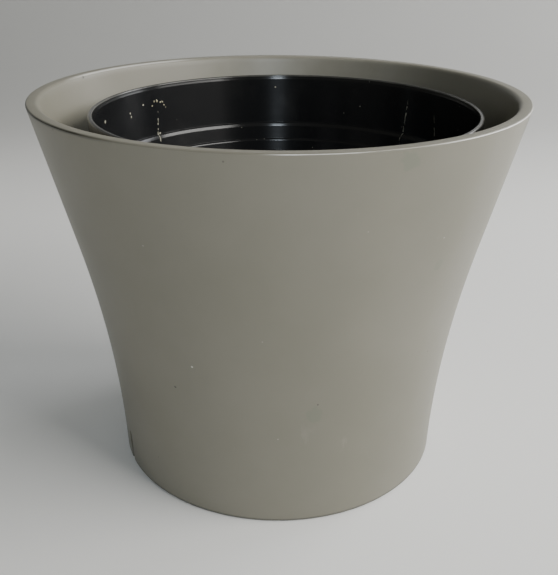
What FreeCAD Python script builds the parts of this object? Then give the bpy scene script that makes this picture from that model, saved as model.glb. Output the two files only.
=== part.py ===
import FreeCAD, Part
import math
import os

# Self-watering planter: a flared casing, a lift-out growing liner and its sub-irrigation insert.
#
# Units are millimetres, +Z is up and the origin is the middle of the foot ring's resting plane.
# The casing is a concave flared pot with a raised floor over a hollow foot. The liner is a thin
# stepped pot that stands inside the casing and holds the water in its bottom. A perforated
# separator stands on three wicking cups over that water, and a filling shaft with a float gauge
# runs up through it. Spare water leaves the liner by a standpipe and falls on the casing's floor.
# With the floor's plug turned out, it drains under the foot and leaves by the slim slot there.

Vector = FreeCAD.Vector
UP = Vector(0, 0, 1)
AXIS_FOOT = Vector(0, 0, 0)
OVERCUT = 1.0  # how far a cutting tool runs past the face that it cuts

# ---- casing: driving dimensions ----
CASING_HEIGHT = 200.0
BASE_RADIUS = 90.0
BASE_DRAFT_DEG = 1.2  # lean of the wall where it leaves the foot
FLARE_DEG = 13.8  # lean of the straight upper wall
BEND_HEIGHT = 130.0  # where the arc of the lower wall runs into the straight flare
WALL_STEPS = 20  # points on the wall's outline
RIM_WALL = 6.2  # horizontal wall at the rim
BASE_WALL = 4.7  # horizontal wall at the floor
RIM_OUTER_ROUND = 0.8
RIM_INNER_ROUND = 2.4
FOOT_OUTER_ROUND = 1.2
FLOOR_UNDERSIDE = 20.0
FLOOR_THICKNESS = 4.5
FLOOR_TOP = FLOOR_UNDERSIDE + FLOOR_THICKNESS
FLOOR_CORNER_ROUND = 2.0
FOOT_WALL = 5.5
FOOT_RIBS = 6
FOOT_RIB_WIDTH = 3.0
FOOT_RIB_DEPTH = 10.0
FOOT_SLOT_ANGLE_DEG = -155.0
FOOT_SLOT_WIDTH = 4.0
FOOT_SLOT_HEIGHT = 19.0
DRAIN_BOSS_RADIUS = 16.0
DRAIN_BOSS_DEPTH = 6.0
DRAIN_HOLE_RADIUS = 9.0

# ---- drain plug: a quarter-turn bayonet ----
PLUG_CLEARANCE = 0.3
PLUG_HEAD_RADIUS = 14.0
PLUG_HEAD_HEIGHT = 3.6
PLUG_HEAD_ROUND = 1.0
PLUG_GRIP_WIDTH = 3.2
PLUG_GRIP_LENGTH = 22.0
PLUG_GRIP_DEPTH = 4.4
PLUG_GRIP_ROUND = 1.2
PLUG_LUG_REACH = 11.4
PLUG_LUG_WIDTH = 5.0
PLUG_LUG_HEIGHT = 1.6
PLUG_LUG_GAP = 0.3  # over the floor, so that the lugs slide round
SEAL_THICKNESS = 1.5
SEAL_INSET = 1.0  # from the plug head's edge

# ---- liner: radii are inside radii at a depth under its rim ----
LINER_AXIS_X = 3.4  # it stands this far off the casing's axis, in its play
LINER_WALL = 1.8
LINER_RIM_RADIUS = 99.4
LINER_RIM_TOP = 191.6
LINER_RIM_FLAT_INSIDE = 97.5
LINER_RIM_BEVEL = 0.6
LINER_RIM_ROUND = 0.6
LINER_LIP_HEIGHT = 7.0
LINER_MOUTH_RADIUS = 97.1
SHOULDERS = (  # depth, radius above, radius below, drop
    (29.0, 96.8, 94.8, 1.2),
    (39.0, 94.4, 93.0, 0.9),
    (46.0, 92.7, 91.5, 0.8),
)
LINER_FLOOR_RADIUS = 79.4
LINER_FLOOR_THICKNESS = 2.2
LINER_FOOT_HEIGHT = 8.0
LINER_FOOT_WALL = 2.4
LINER_FOOT_RADIUS = 79.8
LINER_FOOT_NOTCHES = 6
LINER_FOOT_NOTCH_WIDTH = 10.0
LINER_FOOT_NOTCH_HEIGHT = 4.0
LINER_FOOT_NOTCH_START_DEG = 30.0
LINER_FLOOR_UNDERSIDE = FLOOR_TOP + LINER_FOOT_HEIGHT
LINER_FLOOR_TOP = LINER_FLOOR_UNDERSIDE + LINER_FLOOR_THICKNESS
LINER_CORNER_ROUND = 3.0

# ---- overflow ----
OVERFLOW_PIPE_RADIUS = 7.0
OVERFLOW_BORE_RADIUS = 5.2
OVERFLOW_HOLE_RADIUS = 7.2
OVERFLOW_HEIGHT = 31.0  # the most that the water can stand over the liner's floor
OVERFLOW_FLANGE_RADIUS = 11.5
OVERFLOW_FLANGE_HEIGHT = 2.0
NUT_ACROSS_FLATS = 22.0
NUT_HEIGHT = 4.5
NUT_CHAMFER = 1.0
NUT_CHAMFER_START = 0.3  # out from the flats
PIPE_TAIL = 1.0  # how far the pipe shows under its nut
STRAINER_WALL = 1.2
STRAINER_HEIGHT = 5.5
STRAINER_GRIP = 6.0
STRAINER_SLOTS = 8
STRAINER_SLOT_WIDTH = 1.6
STRAINER_SLOT_INSIDE = 2.2
STRAINER_CROWN = 2.0

# ---- separator ----
SEPARATOR_TOP = 76.0
SEPARATOR_THICKNESS = 2.5
SEPARATOR_UNDERSIDE = SEPARATOR_TOP - SEPARATOR_THICKNESS
SEPARATOR_RADIUS = 83.0
SEPARATOR_LIP_WALL = 1.8
SEPARATOR_LIP_HEIGHT = 5.0
SEPARATOR_LIP_FLARE = 0.5
SEPARATOR_CUP_GAP = 0.5
VENT_RADIUS = 1.7
VENT_RINGS = ((12.0, 6), (22.0, 12), (32.0, 16), (42.0, 24), (52.0, 30), (62.0, 36), (72.0, 40))
VENT_CLEARANCE = 4.0
SEPARATOR_RIBS = 6
SEPARATOR_RIB_WIDTH = 2.0
SEPARATOR_RIB_DEPTH = 5.0
SEPARATOR_RIB_INSIDE = 14.0
SEPARATOR_RIB_OUTSIDE = 78.0
SEPARATOR_RIB_START_DEG = 51.0

# ---- wicking cups ----
CUP_ANGLES_DEG = (12.0, 90.0, 168.0)
CUP_ORBIT = 50.0
CUP_WALL = 1.6
CUP_MOUTH_RADIUS = 15.0
CUP_SHOULDER_RADIUS = 18.0
CUP_SHOULDER_HEIGHT = 2.0
CUP_SHOULDER_STEP = 0.6
CUP_FOOT_RADIUS = 12.0
CUP_SPIGOT_HEIGHT = 2.4  # how far the mouth stands over the separator
CUP_BEAD = 0.6
CUP_BEAD_FOOT = 0.2  # over the separator
CUP_BEAD_CREST = 1.0
CUP_THROAT = 3.0  # how far the straight mouth runs under the separator
CUP_SLOTS = 8
CUP_SLOT_WIDTH = 2.4
CUP_SLOT_INSIDE = 8.0
CUP_SLOT_FOOT = 5.0
CUP_SLOT_TOP = 28.0
CUP_FIT = 0.15
CUP_WEEPS = 4
CUP_WEEP_RADIUS = 1.3
CUP_WEEP_ORBIT = 6.0

# ---- filling shaft and float gauge ----
SHAFT_Y = -56.0
SHAFT_RADIUS = 14.0
SHAFT_BORE_RADIUS = 12.4
SHAFT_TOP = 164.0
SHAFT_FOOT_GAP = 1.5
SHAFT_FLANGE_RADIUS = 18.0
SHAFT_FLANGE_HEIGHT = 2.0
SHAFT_NOTCHES = 4
SHAFT_NOTCH_WIDTH = 8.0
SHAFT_NOTCH_LOW = 3.0  # both measured from the shaft's foot
SHAFT_NOTCH_TOP = 12.0
SHAFT_BAR_WIDTH = 2.4
SHAFT_BAR_HEIGHT = 1.6
BAR_BITE = 0.8  # how far a bar or spoke runs into the ring that holds it
HEAD_FIT = 0.1
HEAD_WALL = 1.6
HEAD_SLEEVE = 8.0
HEAD_FLARE_RADIUS = 20.0
HEAD_FLARE_HEIGHT = 10.0
HEAD_FLARE_LOW = 0.5  # over the shaft's top
HEAD_LEDGE = 1.6
HUB_BORE_RADIUS = 5.6
HUB_RADIUS = 7.4
HUB_HEIGHT = 7.0
SPOKES = 3
SPOKE_WIDTH = 2.2
SPOKE_HEIGHT = 3.0
SPOKE_START_DEG = 30.0
GAUGE_RADIUS = 5.5
GAUGE_BORE_RADIUS = 4.3
GAUGE_FOOT = 98.0
GAUGE_COLLAR_RADIUS = 7.2
GAUGE_COLLAR_HEIGHT = 1.2
CAP_RADIUS = 6.6
CAP_HEIGHT = 3.2
CAP_WALL = 0.9
CAP_ROUND = 1.5
GUIDE_BORE_RADIUS = 1.9
GUIDE_SPIGOT = 4.0
GUIDE_FLANGE = 1.2
FLOAT_RADIUS = 11.0
FLOAT_HEIGHT = 22.0
FLOAT_ROUND = 4.0
STEM_RADIUS = 1.5
STEM_TOP = 142.0
STEM_FOOT_GAP = 2.0  # over the float's foot
POINTER_RADIUS = 3.6
POINTER_LENGTH = 12.0
POINTER_TOP = 144.5
POINTER_ROUND = 1.2


# ---- shared shapes ----
def point(radius, height):
    """A point of a lathe profile, in the plane of the X and Z axes."""
    return Vector(radius, 0, height)


def polar(radius, angle_deg, height=0.0):
    turn = math.radians(angle_deg)
    return Vector(radius * math.cos(turn), radius * math.sin(turn), height)


def line(start, end):
    return Part.LineSegment(start, end).toShape()


def curve(points):
    """A smooth edge through points."""
    through = Part.BSplineCurve()
    through.interpolate(points)
    return through.toShape()


def spin(edges):
    """The solid that a closed outline sweeps round the Z axis."""
    return Part.Face(Part.Wire(edges)).revolve(AXIS_FOOT, UP, 360)


def lathe(outline):
    """The same for an outline of straight runs between (radius, height) points."""
    corners = [point(r, z) for r, z in outline]
    return spin([line(a, b) for a, b in zip(corners, corners[1:] + corners[:1])])


def ring(outer, inner, low, high):
    return lathe([(inner, low), (outer, low), (outer, high), (inner, high)])


def disc(radius, low, high):
    return Part.makeCylinder(radius, high - low, Vector(0, 0, low))


def bar(inside, outside, width, low, high, angle_deg=0.0):
    """A straight bar along a radius, turned to an angle."""
    made = Part.makeBox(outside - inside, width, high - low, Vector(inside, -width / 2, low))
    made.rotate(AXIS_FOOT, UP, angle_deg)
    return made


def bars_round(count, inside, outside, width, low, high, start_deg=0.0):
    return [
        bar(inside, outside, width, low, high, start_deg + 360.0 * n / count) for n in range(count)
    ]


def placed(shape, x, y):
    moved = shape.copy()
    moved.translate(Vector(x, y, 0))
    return moved


def round_edges(shape, circles, round_radius):
    """Rounds the circular edges whose (radius, height) pairs are named."""
    found = []
    for edge in shape.Edges:
        curve = edge.Curve
        if not isinstance(curve, Part.Circle):
            continue
        for radius, height in circles:
            if abs(curve.Radius - radius) < 0.02 and abs(curve.Center.z - height) < 0.02:
                found.append(edge)
    assert found, f"no circular edge at {circles}"
    return shape.makeFillet(round_radius, found)


def upright_slot(angle_deg, inside, outside, width, low, high):
    """A cutter for a slot with a round top, from low to high."""
    cutter = bar(inside, outside, width, low, high - width / 2, angle_deg)
    crown = Part.makeCylinder(
        width / 2, outside - inside, Vector(inside, 0, high - width / 2), Vector(1, 0, 0)
    )
    crown.rotate(AXIS_FOOT, UP, angle_deg)
    return cutter.fuse(crown)


# ---- casing ----
class FlaredWall:
    """What the casing's outside follows: an arc from the foot that runs into a straight flare."""

    def __init__(self):
        start = math.radians(BASE_DRAFT_DEG)
        self.flare = math.radians(FLARE_DEG)
        self.radius = BEND_HEIGHT / (math.sin(self.flare) - math.sin(start))
        self.centre_r = BASE_RADIUS + self.radius * math.cos(start)
        self.centre_z = -self.radius * math.sin(start)

    def at(self, height):
        """The outside radius at a height."""
        rise = min(height, BEND_HEIGHT) - self.centre_z
        bent = self.centre_r - math.sqrt(self.radius**2 - rise**2)
        return bent + max(height - BEND_HEIGHT, 0) * math.tan(self.flare)

    def inside(self, height):
        """The inside radius at a height: the wall thickens evenly towards the rim."""
        share = (height - FLOOR_TOP) / (CASING_HEIGHT - FLOOR_TOP)
        return self.at(height) - BASE_WALL - (RIM_WALL - BASE_WALL) * share


def outer_pot():
    wall = FlaredWall()
    foot_inside = BASE_RADIUS - FOOT_WALL
    depth = CASING_HEIGHT - FLOOR_TOP
    shares = [n / WALL_STEPS for n in range(WALL_STEPS + 1)]
    outside = [point(wall.at(CASING_HEIGHT * n), CASING_HEIGHT * n) for n in shares]
    inside = [point(wall.inside(FLOOR_TOP + depth * n), FLOOR_TOP + depth * n) for n in shares]
    outer_rim, inner_rim, inner_foot = outside[-1], inside[-1], inside[0]
    under = [
        inner_foot,
        point(0, FLOOR_TOP),
        point(0, FLOOR_UNDERSIDE),
        point(foot_inside, FLOOR_UNDERSIDE),
        point(foot_inside, 0),
        outside[0],
    ]
    shell = spin(
        [
            curve(outside),
            line(outer_rim, inner_rim),
            curve(inside[::-1]),
            *[line(a, b) for a, b in zip(under, under[1:])],
        ]
    )
    shell = round_edges(shell, [(outer_rim.x, CASING_HEIGHT)], RIM_OUTER_ROUND)
    shell = round_edges(shell, [(inner_rim.x, CASING_HEIGHT)], RIM_INNER_ROUND)
    shell = round_edges(shell, [(BASE_RADIUS, 0)], FOOT_OUTER_ROUND)
    shell = round_edges(shell, [(inner_foot.x, FLOOR_TOP)], FLOOR_CORNER_ROUND)

    boss = disc(DRAIN_BOSS_RADIUS, FLOOR_UNDERSIDE - DRAIN_BOSS_DEPTH, FLOOR_UNDERSIDE)
    ribs = bars_round(
        FOOT_RIBS,
        DRAIN_BOSS_RADIUS - OVERCUT,
        foot_inside + OVERCUT,
        FOOT_RIB_WIDTH,
        FLOOR_UNDERSIDE - FOOT_RIB_DEPTH,
        FLOOR_UNDERSIDE,
    )
    shell = shell.multiFuse([boss, *ribs])
    notch_reach = PLUG_LUG_REACH + PLUG_CLEARANCE
    notch = bar(
        -notch_reach, notch_reach, PLUG_LUG_WIDTH + 2 * PLUG_CLEARANCE, 0, FLOOR_TOP + OVERCUT, 90
    )
    shell = shell.cut([disc(DRAIN_HOLE_RADIUS, 0, FLOOR_TOP + OVERCUT), notch])
    slot = upright_slot(
        FOOT_SLOT_ANGLE_DEG,
        foot_inside - OVERCUT,
        BASE_RADIUS + 3 * OVERCUT,
        FOOT_SLOT_WIDTH,
        -OVERCUT,
        FOOT_SLOT_HEIGHT,
    )
    return shell.cut(slot).removeSplitter()


# ---- drain plug ----
SEAT = FLOOR_UNDERSIDE - DRAIN_BOSS_DEPTH  # the boss's lower face
PLUG_SHANK_RADIUS = DRAIN_HOLE_RADIUS - PLUG_CLEARANCE


def drain_plug():
    """The plug as it sits locked: its lugs lie over the floor, square to the floor's notches."""
    head_top = SEAT - SEAL_THICKNESS
    head_low = head_top - PLUG_HEAD_HEIGHT
    lug_low = FLOOR_TOP + PLUG_LUG_GAP
    lug_top = lug_low + PLUG_LUG_HEIGHT
    head = disc(PLUG_HEAD_RADIUS, head_low, head_top)
    head = round_edges(head, [(PLUG_HEAD_RADIUS, head_low)], PLUG_HEAD_ROUND)
    shank = disc(PLUG_SHANK_RADIUS, head_top, lug_top)
    lugs = bar(-PLUG_LUG_REACH, PLUG_LUG_REACH, PLUG_LUG_WIDTH, lug_low, lug_top)
    lugs = lugs.common(disc(PLUG_LUG_REACH, lug_low, lug_top))
    half_grip = PLUG_GRIP_LENGTH / 2
    grip = bar(-half_grip, half_grip, PLUG_GRIP_WIDTH, head_low - PLUG_GRIP_DEPTH, head_low)
    uprights = [edge for edge in grip.Edges if abs(edge.tangentAt(0).z) > 0.9]
    grip = grip.makeFillet(PLUG_GRIP_ROUND, uprights)
    return head.multiFuse([shank, lugs, grip]).removeSplitter()


def drain_plug_seal():
    return ring(PLUG_HEAD_RADIUS - SEAL_INSET, PLUG_SHANK_RADIUS, SEAT - SEAL_THICKNESS, SEAT)


# ---- liner ----
def liner_inside():
    """The inside outline of the liner's wall as (radius, height), from the rim to the floor."""
    outline = [
        (LINER_RIM_FLAT_INSIDE, LINER_RIM_TOP),
        (LINER_MOUTH_RADIUS, LINER_RIM_TOP - LINER_RIM_BEVEL),
    ]
    for depth, above, below, drop in SHOULDERS:
        outline += [(above, LINER_RIM_TOP - depth), (below, LINER_RIM_TOP - depth - drop)]
    return outline + [(LINER_FLOOR_RADIUS, LINER_FLOOR_TOP)]


def liner_inside_at(height):
    """The inside radius of the liner's plain lower wall at a height."""
    (top_r, top_z), (low_r, low_z) = liner_inside()[-2:]
    return low_r + (top_r - low_r) * (height - low_z) / (top_z - low_z)


def liner_pot():
    inside = liner_inside()
    lip_foot = LINER_RIM_TOP - LINER_LIP_HEIGHT
    outside = [
        (LINER_RIM_RADIUS, LINER_RIM_TOP),
        (LINER_RIM_RADIUS, lip_foot),
        (LINER_MOUTH_RADIUS + LINER_WALL, lip_foot),
    ]
    for radius, height in inside[2:-1]:
        outside.append((radius + LINER_WALL, height - LINER_WALL / 2))
    outside.append((LINER_FOOT_RADIUS, FLOOR_TOP))
    foot_inside = LINER_FOOT_RADIUS - LINER_FOOT_WALL
    bottom = [
        (foot_inside, FLOOR_TOP),
        (foot_inside, LINER_FLOOR_UNDERSIDE),
        (0, LINER_FLOOR_UNDERSIDE),
        (0, LINER_FLOOR_TOP),
    ]
    made = lathe(outside + bottom + inside[::-1])
    made = round_edges(made, [(LINER_RIM_RADIUS, LINER_RIM_TOP)], LINER_RIM_ROUND)
    made = round_edges(made, [(LINER_FLOOR_RADIUS, LINER_FLOOR_TOP)], LINER_CORNER_ROUND)
    notches = bars_round(
        LINER_FOOT_NOTCHES,
        foot_inside - OVERCUT,
        LINER_FOOT_RADIUS + OVERCUT,
        LINER_FOOT_NOTCH_WIDTH,
        FLOOR_TOP - OVERCUT,
        FLOOR_TOP + LINER_FOOT_NOTCH_HEIGHT,
        LINER_FOOT_NOTCH_START_DEG,
    )
    hole = disc(OVERFLOW_HOLE_RADIUS, LINER_FLOOR_UNDERSIDE - OVERCUT, LINER_FLOOR_TOP + OVERCUT)
    return made.cut([hole, *notches]).removeSplitter()


# ---- overflow ----
OVERFLOW_TOP = LINER_FLOOR_TOP + OVERFLOW_HEIGHT
FLANGE_LOW = LINER_FLOOR_TOP + SEAL_THICKNESS
NUT_TOP = LINER_FLOOR_UNDERSIDE
NUT_LOW = NUT_TOP - NUT_HEIGHT


def overflow_pipe():
    pipe = ring(OVERFLOW_PIPE_RADIUS, OVERFLOW_BORE_RADIUS, NUT_LOW - PIPE_TAIL, OVERFLOW_TOP)
    flange = ring(
        OVERFLOW_FLANGE_RADIUS, OVERFLOW_BORE_RADIUS, FLANGE_LOW, FLANGE_LOW + OVERFLOW_FLANGE_HEIGHT
    )
    return pipe.fuse(flange).removeSplitter()


def overflow_seal():
    return ring(OVERFLOW_FLANGE_RADIUS, OVERFLOW_PIPE_RADIUS, LINER_FLOOR_TOP, FLANGE_LOW)


def overflow_nut():
    corner = NUT_ACROSS_FLATS / 2 / math.cos(math.radians(30))
    corners = [polar(corner, 60.0 * n, NUT_LOW) for n in range(7)]
    hexagon = Part.Face(Part.makePolygon(corners)).extrude(Vector(0, 0, NUT_HEIGHT))
    chamfered = lathe(
        [
            (0, NUT_LOW),
            (NUT_ACROSS_FLATS / 2 + NUT_CHAMFER_START, NUT_LOW),
            (corner + NUT_CHAMFER_START, NUT_LOW + NUT_CHAMFER),
            (corner + NUT_CHAMFER_START, NUT_TOP),
            (0, NUT_TOP),
        ]
    )
    nut = hexagon.common(chamfered)
    return nut.cut(disc(OVERFLOW_PIPE_RADIUS, NUT_LOW - OVERCUT, NUT_TOP + OVERCUT))


def overflow_strainer():
    outer = OVERFLOW_PIPE_RADIUS + STRAINER_WALL
    low = OVERFLOW_TOP - STRAINER_GRIP
    top = OVERFLOW_TOP + STRAINER_HEIGHT
    made = lathe(
        [
            (OVERFLOW_PIPE_RADIUS, low),
            (outer, low),
            (outer, top - STRAINER_CROWN),
            (outer - STRAINER_CROWN, top),
            (0, top),
            (0, top - STRAINER_WALL),
            (outer - STRAINER_CROWN - STRAINER_WALL / 2, top - STRAINER_WALL),
            (OVERFLOW_PIPE_RADIUS, top - STRAINER_CROWN - STRAINER_WALL / 2),
        ]
    )
    slots = bars_round(
        STRAINER_SLOTS,
        STRAINER_SLOT_INSIDE,
        outer + OVERCUT,
        STRAINER_SLOT_WIDTH,
        OVERFLOW_TOP + STRAINER_WALL / 2,
        top + OVERCUT,
    )
    return made.cut(slots).removeSplitter()


# ---- separator and wicking cups ----
def cup_places():
    return [polar(CUP_ORBIT, angle) for angle in CUP_ANGLES_DEG]


def separator_plate():
    keep_clear = [(place, CUP_SHOULDER_RADIUS) for place in cup_places()]
    keep_clear.append((Vector(0, SHAFT_Y, 0), SHAFT_FLANGE_RADIUS))
    made = disc(SEPARATOR_RADIUS, SEPARATOR_UNDERSIDE, SEPARATOR_TOP)
    lip_low = SEPARATOR_TOP - SEPARATOR_THICKNESS / 2
    lip_top = SEPARATOR_TOP + SEPARATOR_LIP_HEIGHT
    lip_reach = SEPARATOR_RADIUS + SEPARATOR_LIP_FLARE
    lip = lathe(
        [
            (SEPARATOR_RADIUS - SEPARATOR_LIP_WALL, lip_low),
            (SEPARATOR_RADIUS, lip_low),
            (lip_reach, lip_top),
            (lip_reach - SEPARATOR_LIP_WALL, lip_top),
        ]
    )
    rib_low = SEPARATOR_UNDERSIDE - SEPARATOR_RIB_DEPTH
    ribs = bars_round(
        SEPARATOR_RIBS,
        SEPARATOR_RIB_INSIDE,
        SEPARATOR_RIB_OUTSIDE,
        SEPARATOR_RIB_WIDTH,
        rib_low,
        SEPARATOR_UNDERSIDE,
        SEPARATOR_RIB_START_DEG,
    )
    ribs.append(
        ring(
            SEPARATOR_RIB_INSIDE + SEPARATOR_RIB_WIDTH,
            SEPARATOR_RIB_INSIDE,
            rib_low,
            SEPARATOR_UNDERSIDE,
        )
    )
    made = made.multiFuse([lip, *ribs])
    holes = []
    for radius, count in VENT_RINGS:
        for n in range(count):
            spot = polar(radius, 360.0 * (n + 0.5) / count, SEPARATOR_UNDERSIDE - OVERCUT)
            near = [
                (spot - place).Length < reach + VENT_CLEARANCE
                for place, reach in ((Vector(p.x, p.y, spot.z), r) for p, r in keep_clear)
            ]
            if not any(near):
                holes.append(Part.makeCylinder(VENT_RADIUS, SEPARATOR_THICKNESS + 2 * OVERCUT, spot))
    mouth = disc(CUP_MOUTH_RADIUS + CUP_FIT, rib_low - OVERCUT, SEPARATOR_TOP + OVERCUT)
    under_cup = disc(CUP_SHOULDER_RADIUS + SEPARATOR_CUP_GAP, rib_low - OVERCUT, SEPARATOR_UNDERSIDE)
    for place in cup_places():
        holes += [placed(mouth, place.x, place.y), placed(under_cup, place.x, place.y)]
    shaft_hole = disc(SHAFT_RADIUS + CUP_FIT, rib_low - OVERCUT, SEPARATOR_TOP + OVERCUT)
    holes.append(placed(shaft_hole, 0, SHAFT_Y))
    return made.cut(holes).removeSplitter()


def wick_cup():
    """One wicking cup on its own axis: it stands on the liner's floor and carries the separator."""
    foot = LINER_FLOOR_TOP
    top = SEPARATOR_TOP + CUP_SPIGOT_HEIGHT
    floor = foot + CUP_WALL
    shoulder = SEPARATOR_UNDERSIDE - CUP_SHOULDER_HEIGHT
    made = lathe(
        [
            (0, foot),
            (CUP_FOOT_RADIUS, foot),
            (CUP_SHOULDER_RADIUS - CUP_SHOULDER_STEP, shoulder),
            (CUP_SHOULDER_RADIUS, shoulder),
            (CUP_SHOULDER_RADIUS, SEPARATOR_UNDERSIDE),
            (CUP_MOUTH_RADIUS, SEPARATOR_UNDERSIDE),
            (CUP_MOUTH_RADIUS, SEPARATOR_TOP + CUP_BEAD_FOOT),
            (CUP_MOUTH_RADIUS + CUP_BEAD, SEPARATOR_TOP + CUP_BEAD_CREST),
            (CUP_MOUTH_RADIUS, top),
            (CUP_MOUTH_RADIUS - CUP_WALL, top),
            (CUP_MOUTH_RADIUS - CUP_WALL, SEPARATOR_UNDERSIDE - CUP_THROAT),
            (CUP_FOOT_RADIUS - CUP_WALL, floor),
            (0, floor),
        ]
    )
    slots = [
        upright_slot(
            360.0 * n / CUP_SLOTS,
            CUP_SLOT_INSIDE,
            CUP_SHOULDER_RADIUS + OVERCUT,
            CUP_SLOT_WIDTH,
            foot + CUP_SLOT_FOOT,
            foot + CUP_SLOT_TOP,
        )
        for n in range(CUP_SLOTS)
    ]
    weeps = [
        placed(
            disc(CUP_WEEP_RADIUS, foot - OVERCUT, floor + OVERCUT), *polar(CUP_WEEP_ORBIT, turn)[:2]
        )
        for turn in (360.0 * (n + 0.5) / CUP_WEEPS for n in range(CUP_WEEPS))
    ]
    return made.cut(slots + weeps).removeSplitter()


# ---- filling shaft ----
SHAFT_FOOT = LINER_FLOOR_TOP + SHAFT_FOOT_GAP
FLOAT_LOW = SHAFT_FOOT + SHAFT_BAR_HEIGHT


def water_shaft():
    tube = ring(SHAFT_RADIUS, SHAFT_BORE_RADIUS, SHAFT_FOOT, SHAFT_TOP)
    flange = ring(
        SHAFT_FLANGE_RADIUS, SHAFT_BORE_RADIUS, SEPARATOR_TOP, SEPARATOR_TOP + SHAFT_FLANGE_HEIGHT
    )
    made = tube.fuse(flange)
    notches = bars_round(
        SHAFT_NOTCHES,
        SHAFT_BORE_RADIUS - OVERCUT,
        SHAFT_RADIUS + OVERCUT,
        SHAFT_NOTCH_WIDTH,
        SHAFT_FOOT + SHAFT_NOTCH_LOW,
        SHAFT_FOOT + SHAFT_NOTCH_TOP,
        180.0 / SHAFT_NOTCHES,
    )
    made = made.cut(notches)
    reach = SHAFT_BORE_RADIUS + BAR_BITE
    cross = [
        bar(-reach, reach, SHAFT_BAR_WIDTH, SHAFT_FOOT, SHAFT_FOOT + SHAFT_BAR_HEIGHT, turn)
        for turn in (0, 90)
    ]
    return made.multiFuse(cross).removeSplitter()


def shaft_head():
    inner = SHAFT_RADIUS + HEAD_FIT
    outer = inner + HEAD_WALL
    low = SHAFT_TOP - HEAD_SLEEVE
    seat = SHAFT_TOP
    top = SHAFT_TOP + HEAD_FLARE_HEIGHT
    funnel = lathe(
        [
            (inner, low),
            (outer, low),
            (outer, seat + HEAD_FLARE_LOW),
            (HEAD_FLARE_RADIUS, top),
            (HEAD_FLARE_RADIUS - HEAD_WALL, top),
            (SHAFT_BORE_RADIUS + HEAD_LEDGE, seat + HEAD_WALL),
            (SHAFT_BORE_RADIUS, seat + HEAD_WALL),
            (SHAFT_BORE_RADIUS, seat),
            (inner, seat),
        ]
    )
    hub = ring(HUB_RADIUS, HUB_BORE_RADIUS, seat, seat + HUB_HEIGHT)
    spokes = bars_round(
        SPOKES,
        HUB_RADIUS - BAR_BITE,
        SHAFT_BORE_RADIUS + BAR_BITE,
        SPOKE_WIDTH,
        seat,
        seat + SPOKE_HEIGHT,
        SPOKE_START_DEG,
    )
    return funnel.multiFuse([hub, *spokes]).removeSplitter()


HUB_TOP = SHAFT_TOP + HUB_HEIGHT
COLLAR_TOP = HUB_TOP + GAUGE_COLLAR_HEIGHT


def gauge_tube():
    tube = ring(GAUGE_RADIUS, GAUGE_BORE_RADIUS, GAUGE_FOOT, COLLAR_TOP)
    collar = ring(GAUGE_COLLAR_RADIUS, GAUGE_BORE_RADIUS, HUB_TOP, COLLAR_TOP)
    return tube.fuse(collar).removeSplitter()


def gauge_cap():
    top = COLLAR_TOP + CAP_HEIGHT
    made = disc(CAP_RADIUS, COLLAR_TOP, top)
    made = round_edges(made, [(CAP_RADIUS, top)], CAP_ROUND)
    return made.cut(disc(CAP_RADIUS - CAP_WALL, COLLAR_TOP - OVERCUT, top - CAP_WALL))


def stem_guide():
    spigot = ring(GAUGE_BORE_RADIUS, GUIDE_BORE_RADIUS, GAUGE_FOOT, GAUGE_FOOT + GUIDE_SPIGOT)
    flange = ring(GAUGE_RADIUS, GUIDE_BORE_RADIUS, GAUGE_FOOT - GUIDE_FLANGE, GAUGE_FOOT)
    return spigot.fuse(flange).removeSplitter()


# ---- float ----
def float_body():
    top = FLOAT_LOW + FLOAT_HEIGHT
    made = ring(FLOAT_RADIUS, STEM_RADIUS, FLOAT_LOW, top)
    return round_edges(made, [(FLOAT_RADIUS, FLOAT_LOW), (FLOAT_RADIUS, top)], FLOAT_ROUND)


def float_stem():
    return disc(STEM_RADIUS, FLOAT_LOW + STEM_FOOT_GAP, STEM_TOP)


def float_pointer():
    low = POINTER_TOP - POINTER_LENGTH
    made = disc(POINTER_RADIUS, low, POINTER_TOP)
    made = round_edges(made, [(POINTER_RADIUS, POINTER_TOP)], POINTER_ROUND)
    return made.cut(disc(STEM_RADIUS, low - OVERCUT, STEM_TOP))


# ---- the whole planter ----
def in_liner(shape, x=0.0, y=0.0):
    """Puts a shape made on its own axis where it stands in the liner."""
    return placed(shape, LINER_AXIS_X + x, y)


def planter():
    parts = {
        "outer_pot": outer_pot(),
        "drain_plug": drain_plug(),
        "drain_plug_seal": drain_plug_seal(),
        "liner_pot": in_liner(liner_pot()),
        "overflow_pipe": in_liner(overflow_pipe()),
        "overflow_seal": in_liner(overflow_seal()),
        "overflow_nut": in_liner(overflow_nut()),
        "overflow_strainer": in_liner(overflow_strainer()),
        "separator_plate": in_liner(separator_plate()),
    }
    cup = wick_cup()
    for number, place in enumerate(cup_places(), start=1):
        parts[f"wick_cup_{number}"] = in_liner(cup, place.x, place.y)
    for name, make in (
        ("water_shaft", water_shaft),
        ("shaft_head", shaft_head),
        ("gauge_tube", gauge_tube),
        ("gauge_cap", gauge_cap),
        ("stem_guide", stem_guide),
        ("float_body", float_body),
        ("float_stem", float_stem),
        ("float_pointer", float_pointer),
    ):
        parts[name] = in_liner(make(), 0, SHAFT_Y)
    return parts


os.makedirs("parts", exist_ok=True)
for name, shape in planter().items():
    box = shape.BoundBox
    print(
        f"{name:18} solids {len(shape.Solids)} valid {shape.isValid()} volume {shape.Volume:10.1f}"
        f" z {box.ZMin:7.2f} {box.ZMax:7.2f}"
    )
    shape.exportStep(f"parts/{name}.step")
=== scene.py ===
import math
import bmesh
import bpy
from mathutils import Matrix, Vector


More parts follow.
